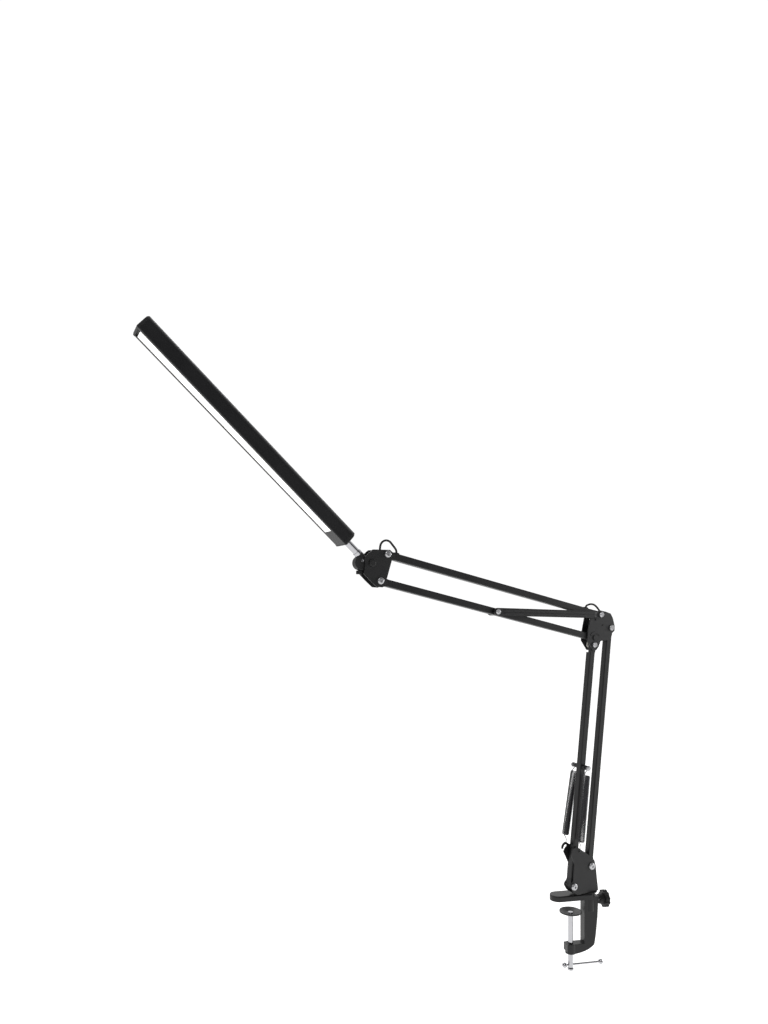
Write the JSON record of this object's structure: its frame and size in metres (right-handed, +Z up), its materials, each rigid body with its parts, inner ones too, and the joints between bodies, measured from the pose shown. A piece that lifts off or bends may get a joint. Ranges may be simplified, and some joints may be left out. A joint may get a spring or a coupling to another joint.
{
  "type": "picture light",
  "caption": "Slim bar picture light on a two-part parallel swing arm with balance springs, swivelling on a screw clamp, with a tilting and turning head.",
  "frame": {"origin": "clamp screw axis at the underside of the upper jaw", "axes": "+Z up; X lies in the plane the arms swing in, and the arms reach towards -X; +Y points away from the side with the bolt heads"},
  "size_m": [0.7286, 0.0462, 0.8985],
  "materials": {
    "black_steel": "fine textured powder coat",
    "black_cast": "satin powder coat over a casting",
    "black_tube": "satin powder coat",
    "black_plastic": "moulded, fine grain",
    "black_rubber": "soft, matt",
    "black_pvc": "cable jacket, slight sheen",
    "black_spring": "blackened spring steel",
    "nylon": "natural nylon",
    "chrome": "bright plated",
    "zinc": "bright zinc plate",
    "brass": "turned",
    "black_aluminium": "black anodised extrusion",
    "opal": "opal, lit from behind",
    "board": "white solder mask",
    "phosphor": "yellow phosphor on white packages"
  },
  "bodies": {
    "clamp": {"clamp_frame": "black_cast", "swivel_bush": "black_plastic"},
    "lock_shoe": {"lock_shoe": "brass"},
    "lock_knob": {"lock_knob": "black_plastic", "lock_stud": "zinc"},
    "pressure_pad": {"pressure_pad": "black_cast"},
    "clamp_screw": {"clamp_screw": "chrome"},
    "t_bar": {"t_bar": "chrome", "t_bar_balls": "chrome"},
    "base": {"base_bracket": "black_steel", "swivel_post": "zinc", "base_bolts": "zinc", "base_nuts": "zinc", "base_washers": "nylon"},
    "lower_front": {"lower_front_tube": "black_tube", "lower_front_plugs": "black_plastic", "spring_pin": "zinc", "spring_spacers": "black_plastic", "balance_spring_near": "black_spring", "balance_spring_far": "black_spring"},
    "lower_rear": {"lower_rear_tube": "black_tube", "lower_rear_plugs": "black_plastic", "cable_lower": "black_pvc"},
    "elbow": {"elbow_plate_near": "black_steel", "elbow_plate_far": "black_steel", "elbow_bolts": "zinc", "elbow_nuts": "zinc", "elbow_washers": "nylon", "elbow_pin": "black_steel", "elbow_rivets": "black_steel", "elbow_cable_clip": "black_plastic"},
    "upper_lower": {"upper_lower_tube": "black_tube", "upper_lower_plugs": "black_plastic", "stay_pin": "zinc", "stay_spacers": "black_plastic", "balance_stays": "black_steel"},
    "upper_top": {"upper_top_tube": "black_tube", "upper_top_plugs": "black_plastic", "cable_grommets": "black_rubber", "cable_upper": "black_pvc", "head_cable_loop": "black_pvc", "elbow_cable_loop": "black_pvc"},
    "head_bracket": {"head_plate_near": "black_steel", "head_plate_far": "black_steel", "head_bolts": "zinc", "head_nuts": "zinc", "head_washers": "nylon", "tilt_bolt": "black_steel", "head_cable_clip": "black_plastic"},
    "knuckle": {"knuckle": "black_plastic", "stem_collar": "chrome", "knuckle_grub_screw": "chrome"},
    "stem_lock": {"stem_lock_screw": "black_steel"},
    "lamp_head": {"stem_tube": "chrome", "bar_shell": "black_aluminium", "end_cap_stem": "black_plastic", "end_cap_free": "black_plastic", "diffuser": "opal", "led_board": "board", "led_chips": "phosphor"}
  },
  "joints": [
    {"name": "lock_travel", "type": "slide", "parent": "clamp", "child": "lock_shoe", "axis": [0.9659, -0.2588, 0], "range_m": [-0.00008, 0.002]},
    {"name": "lock_turn", "type": "hinge", "parent": "lock_shoe", "child": "lock_knob", "pos_m": [0.0483, -0.01294, -0.0045], "axis": [0.9659, -0.2588, 0], "range_deg": [-30, 725]},
    {"name": "pad_travel", "type": "slide", "parent": "clamp", "child": "pressure_pad", "axis": [0, 0, 1], "range_m": [-0.0435, 0.0125]},
    {"name": "clamp_screw_turn", "type": "hinge", "parent": "pressure_pad", "child": "clamp_screw", "pos_m": [0, 0, -0.06], "axis": [0, 0, 1], "range_deg": [-12578, 3640]},
    {"name": "t_bar_slide", "type": "slide", "parent": "clamp_screw", "child": "t_bar", "axis": [0.9659, -0.2588, 0], "range_m": [-0.0425, 0.0018]},
    {"name": "base_swivel", "type": "hinge", "parent": "clamp", "child": "base", "pos_m": [0.03004, -0.00805, 0.01], "axis": [0, 0, 1], "continuous": true},
    {"name": "lower_arm", "type": "hinge", "parent": "base", "child": "lower_front", "pos_m": [-0.00636, -0.00805, 0.0238], "axis": [0, 1, 0], "range_deg": [-50, 28], "deforming": ["balance_spring_near", "balance_spring_far"]},
    {"name": "lower_rear_link", "type": "hinge", "parent": "base", "child": "lower_rear", "pos_m": [0.02854, -0.00805, 0.0502], "axis": [0, 1, 0], "range_deg": [-50.5, 28.5]},
    {"name": "elbow_level", "type": "hinge", "parent": "lower_front", "child": "elbow", "pos_m": [0.03459, -0.00805, 0.3943], "axis": [0, 1, 0], "range_deg": [-28.5, 50.5]},
    {"name": "upper_arm", "type": "hinge", "parent": "elbow", "child": "upper_lower", "pos_m": [0.03574, -0.00805, 0.4055], "axis": [0, 1, 0], "range_deg": [-45, 45], "deforming": ["balance_stays"]},
    {"name": "upper_top_link", "type": "hinge", "parent": "elbow", "child": "upper_top", "pos_m": [0.04644, -0.00805, 0.4414], "axis": [0, 1, 0], "range_deg": [-45.5, 45.5], "deforming": ["elbow_cable_loop"]},
    {"name": "head_level", "type": "hinge", "parent": "upper_top", "child": "head_bracket", "pos_m": [-0.32826, -0.00805, 0.523], "axis": [0, 1, 0], "range_deg": [-45.5, 45.5], "deforming": ["head_cable_loop"]},
    {"name": "head_tilt", "type": "hinge", "parent": "head_bracket", "child": "knuckle", "pos_m": [-0.35096, -0.00805, 0.5105], "axis": [0, 1, 0], "range_deg": [-60, 45]},
    {"name": "head_spin", "type": "hinge", "parent": "knuckle", "child": "lamp_head", "pos_m": [-0.38596, -0.00805, 0.5387], "axis": [-0.7374, 0, 0.6755], "range_deg": [-170, 170]},
    {"name": "stem_lock_turn", "type": "hinge", "parent": "knuckle", "child": "stem_lock", "pos_m": [-0.36716, -0.00805, 0.5], "axis": [0, 0, 1], "range_deg": [-20, 360]}
  ],
  "couplings": [
    {"joint": "lock_turn", "follows": "lock_travel", "rad_per_m": 6283.2},
    {"joint": "clamp_screw_turn", "follows": "pad_travel", "rad_per_m": 5026.5},
    {"joint": "lower_rear_link", "follows": "lower_arm", "ratio": 1},
    {"joint": "elbow_level", "follows": "lower_arm", "ratio": -1},
    {"joint": "upper_top_link", "follows": "upper_arm", "ratio": 1},
    {"joint": "head_level", "follows": "upper_arm", "ratio": -1}
  ]
}
